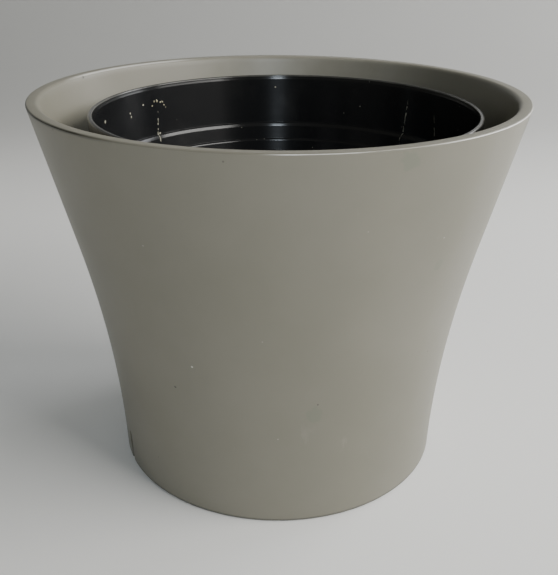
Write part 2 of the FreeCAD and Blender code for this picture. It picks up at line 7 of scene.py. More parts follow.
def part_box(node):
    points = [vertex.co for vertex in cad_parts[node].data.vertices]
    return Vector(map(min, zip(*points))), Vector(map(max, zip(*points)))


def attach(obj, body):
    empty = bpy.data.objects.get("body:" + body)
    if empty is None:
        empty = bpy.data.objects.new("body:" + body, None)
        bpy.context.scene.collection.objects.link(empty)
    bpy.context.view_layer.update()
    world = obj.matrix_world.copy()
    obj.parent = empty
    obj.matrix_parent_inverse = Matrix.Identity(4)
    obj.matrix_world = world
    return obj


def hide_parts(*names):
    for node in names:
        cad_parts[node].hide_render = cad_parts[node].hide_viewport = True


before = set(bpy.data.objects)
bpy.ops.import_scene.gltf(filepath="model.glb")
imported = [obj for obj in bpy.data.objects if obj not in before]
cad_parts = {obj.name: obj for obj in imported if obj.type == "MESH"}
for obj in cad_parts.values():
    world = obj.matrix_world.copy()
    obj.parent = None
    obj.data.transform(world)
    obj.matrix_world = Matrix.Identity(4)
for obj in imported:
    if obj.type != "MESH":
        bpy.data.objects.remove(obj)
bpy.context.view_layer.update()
scene = bpy.context.scene
mm = 0.001
print("frame loaded with", len(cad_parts), "nodes")


# a socket that can be used in sums: each sign adds its Math node
class Wire:
    def __init__(self, net, socket):
        self.net = net
        self.socket = socket

    def calc(self, operation, *values):
        return self.net.add("ShaderNodeMath", {"operation": operation}, dict(enumerate(values)))

    def __add__(self, other):
        return self.calc("ADD", self, other)

    def __radd__(self, other):
        return self.calc("ADD", other, self)

    def __sub__(self, other):
        return self.calc("SUBTRACT", self, other)

    def __rsub__(self, other):
        return self.calc("SUBTRACT", other, self)

    def __mul__(self, other):
        return self.calc("MULTIPLY", self, other)

    def __rmul__(self, other):
        return self.calc("MULTIPLY", other, self)

    def __truediv__(self, other):
        return self.calc("DIVIDE", self, other)

    def __rtruediv__(self, other):
        return self.calc("DIVIDE", other, self)

    def __mod__(self, other):
        return self.calc("FLOORED_MODULO", self, other)

    def __rmod__(self, other):
        return self.calc("FLOORED_MODULO", other, self)

    def __lt__(self, other):
        return self.calc("LESS_THAN", self, other)

    def __gt__(self, other):  # what a number's own less than turns into
        return self.calc("GREATER_THAN", self, other)

    def floor(self):
        return self.calc("FLOOR", self)

    def size(self):
        return self.calc("ABSOLUTE", self)

    def root(self):
        return self.calc("SQRT", self)

    def sine(self):
        return self.calc("SINE", self)

    def cosine(self):
        return self.calc("COSINE", self)

    def within(self, low, high):  # 0 at low, 1 at high, eased between
        settings = {"interpolation_type": "SMOOTHSTEP"}
        values = {"Value": self, "From Min": low, "From Max": high}
        return self.net.add("ShaderNodeMapRange", settings, values)

    def bump(self, middle, reach):  # 1 at middle, fading to 0 at reach either side
        return 1 - (self - middle).size().within(reach * 0.5, reach)


# one node tree being written
class Net:
    def __init__(self, tree):
        self.tree = tree

    def plug(self, socket, value):
        if isinstance(value, Wire):
            self.tree.links.new(value.socket, socket)
        elif isinstance(value, list):
            for one in value:
                self.tree.links.new(one.socket, socket)
        else:
            socket.default_value = value

    def add(self, kind, settings=None, values=None, out=0):
        node = self.tree.nodes.new(kind)
        for name, value in (settings or {}).items():
            setattr(node, name, value)
        for key, value in (values or {}).items():
            self.plug(node.inputs[key], value)
        return Wire(self, node.outputs[out])

    def join(self, x, y, z):
        return self.add("ShaderNodeCombineXYZ", {}, {"X": x, "Y": y, "Z": z})


# a Geometry Nodes tree with named inputs, which ends in one plain mesh
class Growth(Net):
    def __init__(self, name, inputs):
        # each input is a label, a kind of socket and the value that it is given
        super().__init__(bpy.data.node_groups.new(name + "Tree", "GeometryNodeTree"))
        self.name = name
        self.chosen = {}
        for label, kind, value in inputs:
            self.chosen[label] = value
            self.tree.interface.new_socket(label, in_out="INPUT", socket_type="NodeSocket" + kind)
        self.tree.interface.new_socket("Geometry", in_out="OUTPUT", socket_type="NodeSocketGeometry")
        start = self.tree.nodes.new("NodeGroupInput")
        self.taken = {socket.name: Wire(self, socket) for socket in start.outputs if socket.name}

    def grow(self, body, sharpAngle=34):
        # stands the shape in its place, gives it its finish and keeps what the tree grows on an empty mesh
        body = self.add("GeometryNodeTransform", {}, {"Geometry": body, "Translation": self.taken["Stand"]})
        body = self.add("GeometryNodeRealizeInstances", {}, {"Geometry": body})
        body = self.add("GeometryNodeSetMaterial", {}, {"Geometry": body, "Material": self.taken["Finish"]})
        self.plug(self.tree.nodes.new("NodeGroupOutput").inputs[0], body)
        seed = bpy.data.objects.new(self.name + "Seed", bpy.data.meshes.new(self.name + "Seed"))
        scene.collection.objects.link(seed)
        modifier = seed.modifiers.new("grow", "NODES")
        modifier.node_group = self.tree
        for item in self.tree.interface.items_tree:
            if item.in_out == "INPUT":
                modifier[item.identifier] = self.chosen[item.name]
        graph = bpy.context.evaluated_depsgraph_get()
        mesh = bpy.data.meshes.new_from_object(seed.evaluated_get(graph))
        seed.modifiers.clear()
        bpy.data.objects.remove(seed)
        return keepMesh(self.name, mesh, sharpAngle)


def keepMesh(name, mesh, sharpAngle):
    work = bmesh.new()
    work.from_mesh(mesh)
    bmesh.ops.recalc_face_normals(work, faces=work.faces)
    if work.calc_volume(signed=True) < 0:
        bmesh.ops.reverse_faces(work, faces=work.faces)
    strays = [edge for edge in work.edges if edge.is_wire]  # left along the axis of a solid piece
    bmesh.ops.delete(work, geom=strays, context="EDGES")
    openEdges = sum(1 for edge in work.edges if not edge.is_manifold)
    work.to_mesh(mesh)
    work.free()
    mesh.name = name
    mesh.shade_smooth()
    mesh.set_sharp_from_angle(angle=math.radians(sharpAngle))
    made = bpy.data.objects.new(name, mesh)
    scene.collection.objects.link(made)
    print(f"{name}: {len(mesh.polygons)} faces, {openEdges} open edges")
    return made


weld = {"operation": "UNION", "solver": "MANIFOLD"}
carve = {"operation": "DIFFERENCE", "solver": "MANIFOLD"}
weldGap = 0.002 * mm  # points nearer than this become one
straight = 1.54  # half the angle, in radians, from which a corner counts as straight
arcStep = 14  # degrees of a rounded corner that one flat takes
sideShare = 0.48  # the most of a side that its rounded corner uses
crownSides = 28  # flats round the round top of a bar


def roundOff(outline):
    # (radius, height, corner round) in mm becomes points in metres, with arcs at the corners
    area = sum(a[0] * b[1] - b[0] * a[1] for a, b in zip(outline, outline[1:] + outline[:1]))
    if area < 0:
        outline = outline[::-1]
    points = []
    for index, corner in enumerate(outline):
        here = Vector(corner[:2])
        back = Vector(outline[index - 1][:2]) - here
        ahead = Vector(outline[(index + 1) % len(outline)][:2]) - here
        radius = corner[2] if len(corner) > 2 else 0
        half = back.angle(ahead) / 2
        if radius == 0 or half > straight:
            points.append(here)
            continue
        reach = min(radius / math.tan(half), sideShare * back.length, sideShare * ahead.length)
        radius = reach * math.tan(half)
        centre = here + (back.normalized() + ahead.normalized()).normalized() * (radius / math.sin(half))
        start = here + back.normalized() * reach - centre
        end = here + ahead.normalized() * reach - centre
        sweep = start.angle(end)
        steps = max(2, round(math.degrees(sweep) / arcStep))
        for step in range(steps + 1):
            share = step / steps
            mix = start * math.sin((1 - share) * sweep) + end * math.sin(share * sweep)
            points.append(centre + mix / math.sin(sweep))
    return [Vector((p.x, 0, p.y)) * mm for p in points]


def profileObject(name, outline):
    points = roundOff(outline)
    mesh = bpy.data.meshes.new(name)
    mesh.from_pydata(points, [(n, n + 1) for n in range(len(points) - 1)], [])
    profile = bpy.data.objects.new(name, mesh)
    scene.collection.objects.link(profile)
    return profile


def spunNodes(net, profile, segments):
    # a grid with a column for each profile point, rolled up round Z and closed on itself
    count = net.add("GeometryNodeAttributeDomainSize", {"component": "MESH"}, {"Geometry": profile})
    rows = segments + 1
    sizes = {"Size X": 1.0, "Size Y": 1.0, "Vertices X": count + 1, "Vertices Y": rows}
    grid = net.add("GeometryNodeMeshGrid", {}, sizes)
    index = net.add("GeometryNodeInputIndex")
    column = ((index + 0.5) / rows).floor()
    turn = (index - column * rows) * (2 * math.pi) / segments
    place = net.add("GeometryNodeInputPosition")
    sample = net.add(
        "GeometryNodeSampleIndex",
        {"data_type": "FLOAT_VECTOR"},
        {"Geometry": profile, "Value": place, "Index": column % count},
    )
    swing = {"Vector": sample, "Angle": turn}
    swung = net.add("ShaderNodeVectorRotate", {"rotation_type": "Z_AXIS"}, swing)
    rolled = net.add("GeometryNodeSetPosition", {}, {"Geometry": grid, "Position": swung})
    return net.add("GeometryNodeMergeByDistance", {}, {"Geometry": rolled, "Distance": weldGap})


def barNodes(net, sizes, roundTop):
    # copies of one bar along a radius, spread evenly round the axis
    width = sizes["Width"]
    low = sizes["Low"]
    length = sizes["Outside"] - sizes["Inside"]
    middle = (sizes["Outside"] + sizes["Inside"]) / 2
    top = sizes["High"] - width / 2 if roundTop else sizes["High"]
    block = net.add("GeometryNodeMeshCube", {}, {"Size": net.join(length, width, top - low)})
    place = net.join(middle, 0.0, (top + low) / 2)
    bar = net.add("GeometryNodeTransform", {}, {"Geometry": block, "Translation": place})
    if roundTop:
        rod = {"Vertices": crownSides, "Radius": width / 2, "Depth": length}
        crown = net.add("GeometryNodeMeshCylinder", {}, rod)
        lying = {
            "Geometry": crown,
            "Translation": net.join(middle, 0.0, top),
            "Rotation": (0, math.pi / 2, 0),
        }
        crown = net.add("GeometryNodeTransform", {}, lying)
        bar = net.add("GeometryNodeMeshBoolean", weld, {"Mesh 2": [bar, crown]})
    spots = net.add("GeometryNodePoints", {}, {"Count": sizes["Count"]})
    index = net.add("GeometryNodeInputIndex")
    turn = index * (2 * math.pi) / sizes["Count"] + sizes["Start"]
    return net.add(
        "GeometryNodeInstanceOnPoints",
        {},
        {"Points": spots, "Instance": bar, "Rotation": net.join(0.0, 0.0, turn)},
    )


def drillNodes(net, sizes, keepClear):
    # a ring of upright round drills, without those that would break into what is kept clear
    index = net.add("GeometryNodeInputIndex")
    turn = index * (2 * math.pi) / sizes["Count"] + sizes["Start"]
    across = sizes["Orbit"] * turn.cosine()
    along = sizes["Orbit"] * turn.sine()
    places = {"Count": sizes["Count"], "Position": net.join(across, along, 0.0)}
    spots = net.add("GeometryNodePoints", {}, places)
    place = net.add("GeometryNodeInputPosition")
    for x, y, reach in keepClear:
        ends = {0: place, 1: (x * mm, y * mm, 0)}
        away = net.add("ShaderNodeVectorMath", {"operation": "DISTANCE"}, ends, out=1)
        doomed = {"Geometry": spots, "Selection": away < reach * mm}
        spots = net.add("GeometryNodeDeleteGeometry", {}, doomed)
    rod = {"Vertices": sizes["Sides"], "Radius": sizes["Radius"], "Depth": sizes["High"] - sizes["Low"]}
    drill = net.add("GeometryNodeMeshCylinder", {}, rod)
    up = net.join(0.0, 0.0, (sizes["High"] + sizes["Low"]) / 2)
    drill = net.add("GeometryNodeTransform", {}, {"Geometry": drill, "Translation": up})
    return net.add("GeometryNodeInstanceOnPoints", {}, {"Points": spots, "Instance": drill})


def barRing(does, roundTop=False, **sizes):
    sizes = {key.title(): value for key, value in sizes.items()}
    return {"does": does, "roundTop": roundTop, "sizes": sizes}


def drillRing(keepClear=(), **sizes):
    sizes = {key.title(): value for key, value in sizes.items()}
    return {"does": "drill", "keepClear": keepClear, "sizes": sizes}


def featureInputs(label, sizes):
    for key, value in sizes.items():
        if key in ("Count", "Sides"):
            yield f"{label} {key}", "Int", value
        elif key == "Start":
            yield f"{label} {key}", "Float", math.radians(value)
        else:
            yield f"{label} {key}", "Float", value * mm


def turnedPiece(name, piece, material, stand=(0, 0)):
    # a lathe piece: outlines spun round the axis, bars added, and the rings that cut or drill taken out
    profiles = []
    for number, outline in enumerate(piece["outlines"], start=1):
        profiles.append(profileObject(f"{name}Profile{number}", outline))
    features = {}
    for number, feature in enumerate(piece.get("features", []), start=1):
        features[f"{feature['does'].title()} {number}"] = feature
    inputs = [
        ("Segments", "Int", piece["segments"]),
        ("Stand", "Vector", (stand[0] * mm, stand[1] * mm, 0)),
        ("Finish", "Material", material),
    ]
    inputs += [(f"Profile {n}", "Object", profile) for n, profile in enumerate(profiles, start=1)]
    for label, feature in features.items():
        inputs += featureInputs(label, feature["sizes"])
    net = Growth(name, inputs)

    solids = []
    for number in range(1, len(profiles) + 1):
        source = {"Object": net.taken[f"Profile {number}"]}
        info = net.add("GeometryNodeObjectInfo", {}, source, out="Geometry")
        solids.append(spunNodes(net, info, net.taken["Segments"]))
    cutters = []
    for label, feature in features.items():
        sizes = {key: net.taken[f"{label} {key}"] for key in feature["sizes"]}
        if feature["does"] == "drill":
            cutters.append(drillNodes(net, sizes, feature["keepClear"]))
        elif feature["does"] == "cut":
            cutters.append(barNodes(net, sizes, feature["roundTop"]))
        else:
            solids.append(barNodes(net, sizes, feature["roundTop"]))
    body = solids[0]
    if len(solids) > 1:
        body = net.add("GeometryNodeMeshBoolean", weld, {"Mesh 2": solids})
    if cutters:
        body = net.add("GeometryNodeMeshBoolean", carve, {"Mesh 1": body, "Mesh 2": cutters})
    made = net.grow(body)
    for profile in profiles:
        bpy.data.objects.remove(profile)
    return made


def standIn(piece, body, slot, *nodes):
    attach(piece, body)
    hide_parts(*nodes)


# a plastic, rubber or foam finish being mixed
class Finish(Net):
    def __init__(self, name):
        self.material = bpy.data.materials.new(name)
        self.material.use_nodes = True
        super().__init__(self.material.node_tree)
        self.shader = self.tree.nodes["Principled BSDF"]
        self.place = self.add("ShaderNodeTexCoord", out="Object")
        self.height = 0

    def noise(self, scale, detail=3.0, rough=0.5, stretch=(1, 1, 1)):
        moved = self.add("ShaderNodeMapping", {}, {"Vector": self.place, "Scale": stretch})
        sizes = {"Vector": moved, "Scale": scale, "Detail": detail, "Roughness": rough}
        return self.add("ShaderNodeTexNoise", {}, sizes)

    def cells(self, scale, out="Distance"):
        return self.add("ShaderNodeTexVoronoi", {}, {"Vector": self.place, "Scale": scale}, out)

    def dots(self, scale, size, share):
        # sparse round specks: a cell has one only where its own random value is under the share
        near = 1 - self.cells(scale).within(size * 0.6, size)
        own = self.add("ShaderNodeSeparateColor", {}, {"Color": self.cells(scale, "Color")})
        return near * (own < share)

    def axes(self):
        split = self.add("ShaderNodeSeparateXYZ", {}, {0: self.place}).socket.node
        return [Wire(self, socket) for socket in split.outputs]

    def roundAxis(self, centreX=0.0):
        # radius and height in mm, and the bearing from +X in degrees
        x, y, z = self.axes()
        x = x - centreX * mm
        bearing = x.calc("ARCTAN2", y, x) * (180 / math.pi)
        return (x * x + y * y).root() / mm, bearing, z / mm

    def spot(self, x, y, z, radius, ragged):
        # a blot at a place in mm, with a ragged edge
        centre = (x * mm, y * mm, z * mm)
        ends = {0: self.place, 1: centre}
        away = self.add("ShaderNodeVectorMath", {"operation": "DISTANCE"}, ends, out=1)
        wobble = (self.noise(900 / radius, 3.0) - 0.5) * (2 * ragged * radius)
        return 1 - (away / mm + wobble).within(radius * 0.75, radius)

    def mix(self, low, high, factor):
        return self.add("ShaderNodeMix", {"data_type": "RGBA"}, {0: factor, 6: low, 7: high}, out=2)

    def relief(self, height, depth):
        self.height = self.height + height * (depth * mm)

    def done(self, colour, rough, **fixed):
        self.plug(self.shader.inputs["Base Color"], colour)
        self.plug(self.shader.inputs["Roughness"], rough)
        for name, value in fixed.items():
            self.shader.inputs[name.replace("_", " ")].default_value = value
        if isinstance(self.height, Wire):
            sizes = {"Height": self.height, "Distance": 1.0, "Strength": 1.0}
            self.plug(self.shader.inputs["Normal"], self.add("ShaderNodeBump", {}, sizes))
        return self.material


def paint(red, green, blue):
    return (red, green, blue, 1.0)


# casing: heights and radii in mm, and its height read from the frame
casing = {
    "height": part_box("outer_pot")[1].z / mm,
    "base": 90.0,
    "baseLean": math.radians(1.2),
    "flare": math.radians(13.8),
    "bend": 130.0,
    "rimWall": 6.2,
    "baseWall": 4.7,
    "floorTop": 24.5,
    "floorLow": 20.0,
    "footInside": 84.5,
    "boss": 16.0,
    "bossLow": 14.0,
    "hole": 9.0,
    "wallSteps": 44,
    "segments": 288,
    "slot": -155,
    "wallShy": 0.02,  # keeps the round of many sides inside the frame's box
    "rounds": {
        "drainLow": 0.4,
        "boss": 0.8,
        "bossRoot": 1.2,
        "ceiling": 1.5,
        "footInside": 0.5,
        "foot": 1.2,
        "lip": 0.8,
        "mouth": 2.4,
        "floor": 2.0,
        "drainTop": 0.6,
    },
}

# satin taupe of the casing: fine moulded skin, faint mottle, old dirt and painted highlights on the lip,
# painted light on the inner wall, painted shade at the foot and in its slot, and a few old marks
casingMarks = {
    "taupe": paint(0.219, 0.207, 0.166),
    "taupeDeep": paint(0.198, 0.188, 0.147),
    "pale": paint(0.62, 0.60, 0.54),
    "paintedHighlight": paint(0.93, 0.92, 0.88),
    "dark": paint(0.03, 0.028, 0.020),
    "moss": paint(0.155, 0.175, 0.130),
    "skinScale": 1500,
    "skinDepth": 0.004,
    "rough": 0.34,
    # radii and heights in mm
    "lip": 123.95,
    "lipInside": 118.7,
    "crest": (199.3, 199.42),
    "dirt": (197.6, 198.8),
    "innerHighlightHeights": (197, 198.5),
    "shadeHeight": (194, 5),
    "backGlowHeights": (120, 150),
    "footShadeHeights": (0.6, 2.2),
    "slotWall": (84.3, 89.4),
    "slotTop": 19.2,
    # bearings and how far each reaches either side, in degrees
    # painted highlights along the lip's crest: bearing, reach and strength
    "lipHighlights": [(-31, 34, 1.0), (-83, 11, 0.6)],
    "grime": (-154, 20, 36),
    "shade": (-21, 9),
    "inside": (141, 28),
    "backGlow": (82, 46),
    "slotReach": 2.4,
    # places in mm and the size of each
    "chips": [(43.3, 107.3, 200, 1.5), (46.5, 112.0, 199.5, 0.7)],
    "nicks": [(-108.3, 42.9, 199.5, 2.0), (-49.1, -83.0, 75.2, 0.7), (18.7, -94.3, 72.7, 0.5)],
    "flecks": [(-39.6, -90.5, 90.6, 0.6), (62.0, -70.5, 38.0, 0.6)],
    "smudges": [(50.0, -112.3, 194.0, 5.0), (70.9, -83.3, 139.0, 3.0), (17.5, -93.4, 67.0, 5.0)],
}


def casingFinish(marks, size):
    finish = Finish("casingTaupe")
    radius, bearing, height = finish.roundAxis()
    mottle = finish.noise(14, 4.0).within(0.3, 0.7)
    colour = finish.mix(marks["taupe"], marks["taupeDeep"], mottle)
    wavy = finish.noise(70, 4.0)
    scuffs = finish.noise(60, 5.0, 0.6, (1, 1, 0.25)).within(0.66, 0.74)
    lowBand = 1 - height.within(14, 60)
    # painted contact shadow: a thin dark band at the very bottom of the foot
    foot = 1 - height.within(*marks["footShadeHeights"])

    # the lip's crest, with a painted highlight at the front, old dirt on its left and a faint painted shade
    # under its right
    lip = radius.within(marks["lip"] - 0.1, marks["lip"]) * height.within(*marks["crest"])
    lipHighlights = sum(bearing.bump(middle, reach) * strength for middle, reach, strength in marks["lipHighlights"])
    middle, near, far = marks["grime"]
    left = ((bearing + 360) % 360 - (middle + 360)).size()
    low, high = marks["dirt"]
    grime = radius.within(marks["lip"] - 0.6, marks["lip"]) * height.within(low + wavy, high + wavy)
    grime = grime * (1 - left.within(near, far)) * (0.55 + wavy * 0.5)
    shade = height.bump(*marks["shadeHeight"]) * bearing.bump(*marks["shade"]) * (0.12 + wavy * 0.3)

    # a painted highlight along the lip's inner edge, painted light on the back of the inner wall, and
    # painted shade in the foot's slot
    inside = radius.bump(marks["lipInside"], 0.7) * height.within(*marks["innerHighlightHeights"])
    inside = inside * bearing.bump(*marks["inside"])
    # painted light: the back of the inner wall made paler where the light falls on it
    outerWall = marks["lip"] - (size["height"] - height) * math.tan(size["flare"])
    backGlow = (outerWall - radius).within(2, 4) * height.within(*marks["backGlowHeights"])
    backGlow = backGlow * bearing.bump(*marks["backGlow"])
    near, far = marks["slotWall"]
    # painted shade on the walls of the foot's slot
    slotShade = bearing.bump(size["slot"], marks["slotReach"]) * (1 - radius.within(far - 1, far))
    slotShade = slotShade * radius.within(near, near + 0.5)
    slotShade = slotShade * (1 - height.within(marks["slotTop"], marks["slotTop"] + 0.4))

    for mask, tint in (
        (scuffs * (lowBand * 0.30 + 0.05), "pale"),
        (finish.dots(95, 0.05, 0.05) * 0.5, "dark"),
        (finish.dots(140, 0.07, 0.05) * 0.35, "pale"),
        (backGlow * (0.04 + wavy * 0.16), "pale"),
        (foot * 0.7, "dark"),
        (grime + shade + slotShade * 0.8, "dark"),
        # painted highlights on the lip's crest and along its inner edge
        (lip * lipHighlights * 0.85 + inside * 0.45, "paintedHighlight"),
    ):
        colour = finish.mix(colour, marks[tint], mask)
    for kind, tint, strength, ragged in (
        ("smudges", "moss", 0.35, 0.8),
        ("chips", "pale", 0.85, 0.35),
        ("flecks", "pale", 0.85, 0.35),
        ("nicks", "dark", 0.80, 0.35),
    ):
        for x, y, z, wide in marks[kind]:
            colour = finish.mix(colour, marks[tint], finish.spot(x, y, z, wide, ragged) * strength)
    finish.relief(finish.noise(marks["skinScale"], 2.0), marks["skinDepth"])
    finish.relief(finish.noise(160, 2.0), 0.012)
    rough = marks["rough"] + finish.noise(35, 4.0) * 0.10 + scuffs * 0.10 - lip * 0.18
    return finish.done(colour, rough, Specular_IOR_Level=0.5)


# the liner stands loose, this far to the right of the casing's axis: mm
linerAxis = 3.4

# glossy black of the liner: skin combed by its mould, dried drips, dust, rim edges that are partly wear and
# partly painted highlight, and one painted glint
linerMarks = {
    "black": paint(0.0075, 0.0078, 0.0085),
    "dust": paint(0.17, 0.165, 0.145),
    "crust": paint(0.60, 0.57, 0.45),
    "rough": 0.21,
    "edges": [(99.1, 0.3), (97.4, 0.25)],
    "drips": [
        # bearings at the top and at the foot, heights of foot and top, width, strength
        (140.8, 141.7, 150, 179, 0.34, 0.60),
        (41.2, 43.4, 152, 184, 0.34, 0.55),
        (28.4, 26.6, 160, 179, 0.28, 0.30),
    ],
    "blots": [
        (-92.8, 12.7, 180.6, 0.9),
        (-84.4, 41.2, 179.1, 0.6),
        (-84.1, 41.9, 177.0, 0.6),
        (-78.6, 51.8, 181.7, 0.6),
        (-71.3, 61.9, 163.1, 0.8),
        # a painted glint in the highlight column at the back of the mouth
        (-2.6, 96.8, 184.2, 0.55),
        (-20.0, 96.0, 190.5, 1.2),
    ],
}


def linerFinish(marks):
    finish = Finish("linerBlack")
    radius, bearing, height = finish.roundAxis(linerAxis)
    haze = finish.noise(30, 6.0, 0.65).within(0.45, 0.9)
    colour = finish.mix(marks["black"], marks["dust"], haze * 0.07)
    grain = finish.noise(140, 4.0)
    # pale lines on the rim's outer and inner edges: partly wear, partly painted highlight
    for at, wide in marks["edges"]:
        edge = radius.bump(at, wide) * height.within(190.2, 190.9)
        colour = finish.mix(colour, marks["dust"], edge * (0.1 + grain * 0.5))
    broken = finish.noise(620, 2.0, 0.5, (1, 1, 0.8)).within(0.50, 0.56)
    for top, foot, low, high, wide, strength in marks["drips"]:
        along = (height - low) / (high - low)
        away = (bearing - foot - along * (top - foot)).size()
        line = (1 - away.within(wide * 0.4, wide)) * height.bump((low + high) / 2, (high - low) / 2)
        colour = finish.mix(colour, marks["crust"], line * broken * strength)
    for x, y, z, size in marks["blots"]:
        colour = finish.mix(colour, marks["crust"], finish.spot(x, y, z, size, 0.9) * 0.7)
    specks = finish.dots(160, 0.07, 0.03) + finish.dots(420, 0.12, 0.02)
    colour = finish.mix(colour, marks["crust"], specks * 0.35)
    finish.relief(finish.noise(7, 3.0, 0.5, (1, 1, 60)), 0.022)
    finish.relief(finish.noise(60, 2.0), 0.012)
    rough = marks["rough"] + haze * 0.05 + specks * 0.3
    return finish.done(colour, rough, Specular_IOR_Level=0.5, Anisotropic=0.9, Anisotropic_Rotation=0.25)


# semi-matt black of the insert: spark-eroded skin with water marks low down
insertMarks = {
    "dust": paint(0.12, 0.115, 0.10),
    "scale": paint(0.42, 0.40, 0.33),
    "silt": paint(0.20, 0.13, 0.07),
    "lines": [(0, 1.6, 1.0), (-7, 1.0, 0.6)],  # below the water line, reach and strength
    "skins": [(2200, 0.006), (300, 0.006)],
}


def insertFinish(name, marks, black, rough, waterLine):
    finish = Finish(name)
    height = finish.axes()[2] / mm
    dust = finish.noise(45, 6.0, 0.62).within(0.5, 0.9)
    colour = finish.mix(paint(black, black, black * 1.06), marks["dust"], dust * 0.14)
    tide = sum(height.bump(waterLine + down, reach) * much for down, reach, much in marks["lines"])
    tide = tide * finish.noise(70, 4.0).within(0.35, 0.7)
    colour = finish.mix(colour, marks["scale"], tide * 0.28)
    colour = finish.mix(colour, marks["silt"], finish.dots(240, 0.12, 0.10) * 0.6)
    for scale, depth in marks["skins"]:
        finish.relief(finish.noise(scale, 2.0), depth)
    return finish.done(colour, rough + dust * 0.15)


# beaded white foam of the float, stained by the water
foamMarks = {
    "foam": paint(0.80, 0.79, 0.74),
    "seam": paint(0.60, 0.585, 0.53),
    "stain": paint(0.42, 0.36, 0.24),
    "beads": 620,
    "beadDepth": -0.16,
    "rough": 0.62,
}


def foamFinish(marks):
    finish = Finish("floatFoam")
    beads = finish.cells(marks["beads"])
    edge = beads.within(0.32, 0.62)
    colour = finish.mix(marks["foam"], marks["seam"], edge * 0.55)
    stain = finish.noise(70, 5.0).within(0.5, 0.85)
    colour = finish.mix(colour, marks["stain"], stain * 0.35)
    finish.relief(beads, marks["beadDepth"])
    return finish.done(colour, marks["rough"] + stain * 0.1)


# finishes of one tone that drifts into another over a fine skin. The noise is its scale, detail, roughness
# and stretch, the skin its scale, detail and depth, and rough what it starts from and what the drift adds
sealRubber = {
    "tones": (paint(0.020, 0.020, 0.021), paint(0.075, 0.075, 0.078)),
    "noise": (120, 5.0),
    "span": (0.4, 0.8),
    "share": 0.5,
    "skin": (2600, 2.0, 0.008),
    "rough": (0.62, 0.15),
}
gaugeClear = {
    "tones": (paint(0.93, 0.96, 0.955), paint(0.80, 0.82, 0.78)),
    "noise": (90, 5.0, 0.6),
    "span": (0.45, 0.85),
    "share": 0.4,
    "skin": (140, 2.0, 0.006),
    "rough": (0.06, 0.10),
    "fixed": {"Transmission_Weight": 1.0, "IOR": 1.49},
}
stemWhite = {
    "tones": (paint(0.78, 0.78, 0.75), paint(0.62, 0.59, 0.50)),
    "noise": (130, 5.0, 0.5, (1, 1, 0.3)),
    "span": (0.45, 0.8),
    "share": 0.5,
    "skin": (1400, 2.0, 0.003),
    "rough": (0.30, 0.15),
}
pointerRed = {
    "tones": (paint(0.62, 0.020, 0.012), paint(0.50, 0.035, 0.022)),
    "noise": (180, 4.0),
    "span": (0.35, 0.75),
    "share": 1.0,
    "skin": (1500, 2.0, 0.003),
    "rough": (0.26, 0.10),
}
drySoil = {
    "tones": (paint(0.66, 0.60, 0.42), paint(0.34, 0.29, 0.18)),
    "noise": (900, 4.0),
    "span": (0.35, 0.7),
    "share": 1.0,
    "skin": (2500, 3.0, 0.05),
    "rough": (0.85, 0),
}


def driftFinish(name, look):
    finish = Finish(name)
    drift = finish.noise(*look["noise"]).within(*look["span"])
    colour = finish.mix(*look["tones"], drift * look["share"])
    scale, detail, depth = look["skin"]
    finish.relief(finish.noise(scale, detail), depth)
    low, extra = look["rough"]
    rough = low + drift * extra if extra else low
    return finish.done(colour, rough, **look.get("fixed", {}))


finishes = {
    "casing": casingFinish(casingMarks, casing),
    "liner": linerFinish(linerMarks),
    "insert": insertFinish("insertBlack", insertMarks, 0.012, 0.42, 66),
    "plug": insertFinish("plugBlack", insertMarks, 0.016, 0.5, 25),
    "foam": foamFinish(foamMarks),
    "rubber": driftFinish("sealRubber", sealRubber),
    "clear": driftFinish("gaugeClear", gaugeClear),
    "stem": driftFinish("stemWhite", stemWhite),
    "pointer": driftFinish("pointerRed", pointerRed),
    "crumb": driftFinish("drySoil", drySoil),
}
print("finishes mixed:", len(finishes))


def casingOutline(size):
    # an arc from the foot that runs into a straight flare
    rise = size["height"]
    radius = size["bend"] / (math.sin(size["flare"]) - math.sin(size["baseLean"]))
    centreR = size["base"] + radius * math.cos(size["baseLean"])
    centreZ = -radius * math.sin(size["baseLean"])

    def outside(z):
        bent = centreR - math.sqrt(radius**2 - (min(z, size["bend"]) - centreZ) ** 2)
        return bent + max(z - size["bend"], 0) * math.tan(size["flare"]) - size["wallShy"]

    def inside(z):
        share = (z - size["floorTop"]) / (rise - size["floorTop"])
        return outside(z) - size["baseWall"] - (size["rimWall"] - size["baseWall"]) * share

    steps = size["wallSteps"]
    up = [(outside(rise * n / steps), rise * n / steps) for n in range(1, steps)]
    depth = rise - size["floorTop"]
    down = [(inside(rise - depth * n / steps), rise - depth * n / steps) for n in range(1, steps)]
    rounds = size["rounds"]
    return [
        (size["hole"], size["bossLow"], rounds["drainLow"]),
        (size["boss"], size["bossLow"], rounds["boss"]),
        (size["boss"], size["floorLow"], rounds["bossRoot"]),
        (size["footInside"], size["floorLow"], rounds["ceiling"]),
        (size["footInside"], 0, rounds["footInside"]),
        (size["base"] - size["wallShy"], 0, rounds["foot"]),
        *up,
        (outside(rise), rise, rounds["lip"]),
        (inside(rise), rise, rounds["mouth"]),
        *down,
        (inside(size["floorTop"]), size["floorTop"], rounds["floor"]),
        (size["hole"], size["floorTop"], rounds["drainTop"]),
    ]


casing["outlines"] = [casingOutline(casing)]
casing["features"] = [
    barRing("rib", count=6, start=0, inside=15.0, outside=86.0, width=3.0, low=10.0, high=21.0),
    barRing("cut", count=2, start=90, inside=0.0, outside=11.7, width=5.6, low=12.0, high=26.0),
    barRing(
        "cut",
        roundTop=True,
        count=1,
        start=casing["slot"],
        inside=83.0,
        outside=94.0,
        width=4.0,
        low=-1.0,
        high=19.0,
    ),
]
casingShell = turnedPiece("casingShell", casing, finishes["casing"])
standIn(casingShell, "casing", "casing_taupe", "outer_pot")

